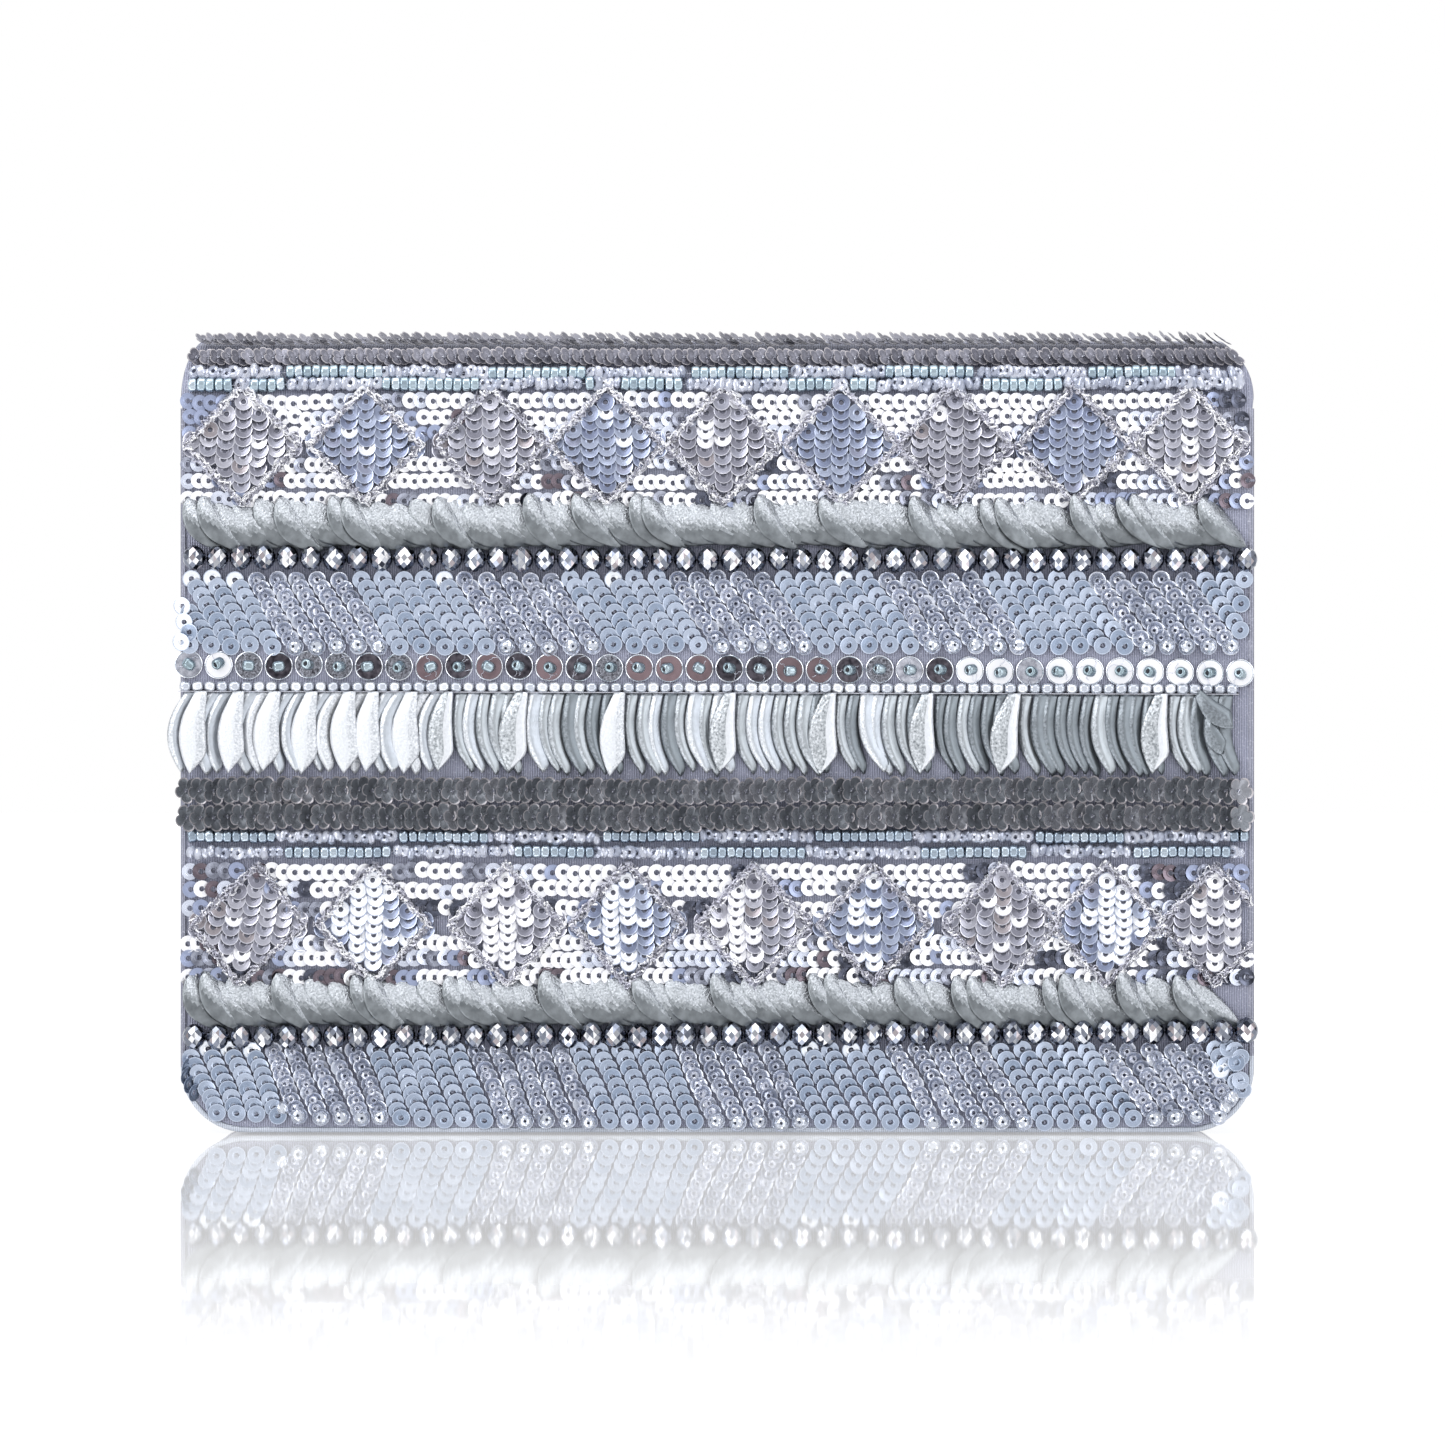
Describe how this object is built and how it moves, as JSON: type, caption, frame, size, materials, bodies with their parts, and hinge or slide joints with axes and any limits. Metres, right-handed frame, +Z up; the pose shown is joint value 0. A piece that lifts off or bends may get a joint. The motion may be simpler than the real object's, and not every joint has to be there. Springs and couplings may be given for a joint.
{
  "type": "evening bag",
  "caption": "Upright full-flap evening bag covered in rows of sequins, beads and hanging leaves, with a folding flap, pleated gussets and a magnetic snap.",
  "frame": {"origin": "middle of the footprint, on the surface that the closed bag stands on", "axes": "+X along the width, +Z up, the flap faces -Y"},
  "size_m": [0.23, 0.037, 0.1722],
  "materials": {
    "metallic_cloth": "fine ribbed metallic weave, soft sheen",
    "stiff_board": "matt",
    "fold_foam": "matt",
    "satin_lining": "satin",
    "edge_binding": "satin",
    "snap_metal": "polished",
    "magnet": "plated",
    "flower_sequin": "smoky pearl",
    "metallic_seed_bead": "metallic lustre",
    "clear_bead": "clear",
    "mirror_sequin": "mirror",
    "warm_sequin": "pearl",
    "lavender_sequin": "pearl",
    "metallic_thread": "crumpled metallic",
    "laid_leaf": "brushed metallic",
    "faceted_bead": "mirror facets",
    "blue_sequin": "opaque satin",
    "large_disc": "dark mirror",
    "disc_bead": "metallic lustre",
    "hanging_leaf": "leather-grain metallic"
  },
  "bodies": {
    "shell": {"back_board": "stiff_board", "back_fold_foam": "fold_foam", "back_cover": "metallic_cloth", "back_lining": "satin_lining", "slip_pocket": "satin_lining", "base_board": "stiff_board", "base_cover": "metallic_cloth", "base_lining": "satin_lining", "side_gusset_left": "metallic_cloth", "side_gusset_right": "metallic_cloth", "gusset_lining_left": "satin_lining", "gusset_lining_right": "satin_lining"},
    "front_panel": {"front_board": "stiff_board", "front_cover": "metallic_cloth", "front_lining": "satin_lining", "snap_socket": "snap_metal", "snap_magnet": "magnet", "snap_socket_plate": "snap_metal"},
    "fold_rear": {"fold_rear_foam": "fold_foam", "fold_rear_cover": "metallic_cloth", "fold_rear_lining": "satin_lining"},
    "fold_front": {"fold_front_foam": "fold_foam", "fold_front_cover": "metallic_cloth", "fold_front_lining": "satin_lining", "flowers_fold": "flower_sequin"},
    "flap": {"flap_board": "stiff_board", "flap_fold_foam": "fold_foam", "flap_cover": "metallic_cloth", "flap_lining": "satin_lining", "flap_hem": "edge_binding", "snap_stud": "snap_metal", "snap_stud_plate": "snap_metal", "flowers_top": "flower_sequin", "seed_beads_top": "metallic_seed_bead", "clear_beads_top": "clear_bead", "mirror_sequins_top": "mirror_sequin", "diamonds_warm_top": "warm_sequin", "diamonds_blue_top": "lavender_sequin", "diamond_cord_top": "metallic_thread", "leaf_row_top": "laid_leaf", "faceted_beads_top": "faceted_bead", "stripe_sequins_top": "blue_sequin", "stripe_beads_top": "clear_bead", "disc_sequins": "large_disc", "disc_beads": "disc_bead", "fringe_beads": "clear_bead", "flowers_mid": "flower_sequin", "seed_beads_low": "metallic_seed_bead", "clear_beads_low": "clear_bead", "mirror_sequins_low": "mirror_sequin", "diamonds_warm_low": "warm_sequin", "diamonds_blue_low": "lavender_sequin", "diamond_cord_low": "metallic_thread", "leaf_row_low": "laid_leaf", "faceted_beads_low": "faceted_bead", "stripe_sequins_low": "blue_sequin", "stripe_beads_low": "clear_bead"},
    "leaf_fringe": {"fringe_leaves": "hanging_leaf"}
  },
  "joints": [
    {"name": "flap_fold_rear", "type": "hinge", "parent": "shell", "child": "fold_rear", "pos_m": [0, 0.01381, 0.16631], "axis": [-1, 0, 0], "range_deg": [0, 60]},
    {"name": "flap_fold_top", "type": "hinge", "parent": "fold_rear", "child": "fold_front", "pos_m": [0, 0.00334, 0.17098], "axis": [-1, 0, 0], "range_deg": [0, 60]},
    {"name": "flap_fold_front", "type": "hinge", "parent": "fold_front", "child": "flap", "pos_m": [0, -0.00757, 0.16743], "axis": [-1, 0, 0], "range_deg": [0, 60]},
    {"name": "mouth_open", "type": "hinge", "parent": "shell", "child": "front_panel", "pos_m": [0, -0.0087, 0], "axis": [1, 0, 0], "range_deg": [0, 12], "deforming": ["side_gusset_left", "side_gusset_right", "gusset_lining_left", "gusset_lining_right"]},
    {"name": "leaf_fringe_swing", "type": "hinge", "parent": "flap", "child": "leaf_fringe", "pos_m": [0, -0.0146, 0.0955], "axis": [-1, 0, 0], "range_deg": [0, 110]}
  ],
  "couplings": [
    {"joint": "flap_fold_top", "follows": "flap_fold_rear", "ratio": 1},
    {"joint": "flap_fold_front", "follows": "flap_fold_rear", "ratio": 1},
    {"joint": "mouth_open", "follows": "flap_fold_rear", "ratio": 0.2}
  ]
}
